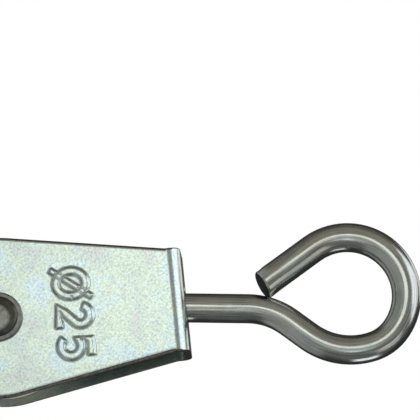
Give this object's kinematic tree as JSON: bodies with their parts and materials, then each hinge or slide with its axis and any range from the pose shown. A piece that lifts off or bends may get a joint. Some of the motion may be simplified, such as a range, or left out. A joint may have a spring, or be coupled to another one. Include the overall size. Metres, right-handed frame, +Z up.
{
  "type": "swivel eye pulley",
  "caption": "Small rope pulley: a grooved sheave on a riveted axle in a folded sheet steel strap, hung by a bent rod eye that swivels in the bridge.",
  "frame": {"origin": "centre of the sheave, on the axle's axis", "axes": "+Z up along the strap to the bridge and the eye, Y along the axle with the marked cheek facing -Y, X across the cheeks"},
  "size_m": [0.0274, 0.0169, 0.0852],
  "materials": {
    "zinc_sheet": "bright zinc plated, lightly scratched",
    "rivet_steel": "hammered steel, dull",
    "washer_steel": "zinc plated, dull",
    "rod_steel": "drawn rod, zinc plated, smooth",
    "sheave_nylon": "moulded nylon"
  },
  "bodies": {
    "eye": {"swivel_eye": "rod_steel"},
    "block": {"cheek_strap": "zinc_sheet", "axle_rivet": "rivet_steel", "axle_washer": "washer_steel"},
    "sheave": {"sheave": "sheave_nylon"}
  },
  "joints": [
    {"name": "swivel", "type": "hinge", "parent": "eye", "child": "block", "pos_m": [0.0007, 0, 0.0315], "axis": [0.1184, 0, 0.993], "continuous": true},
    {"name": "sheave_spin", "type": "hinge", "parent": "block", "child": "sheave", "pos_m": [0, 0, 0], "axis": [0, 1, 0], "continuous": true}
  ]
}
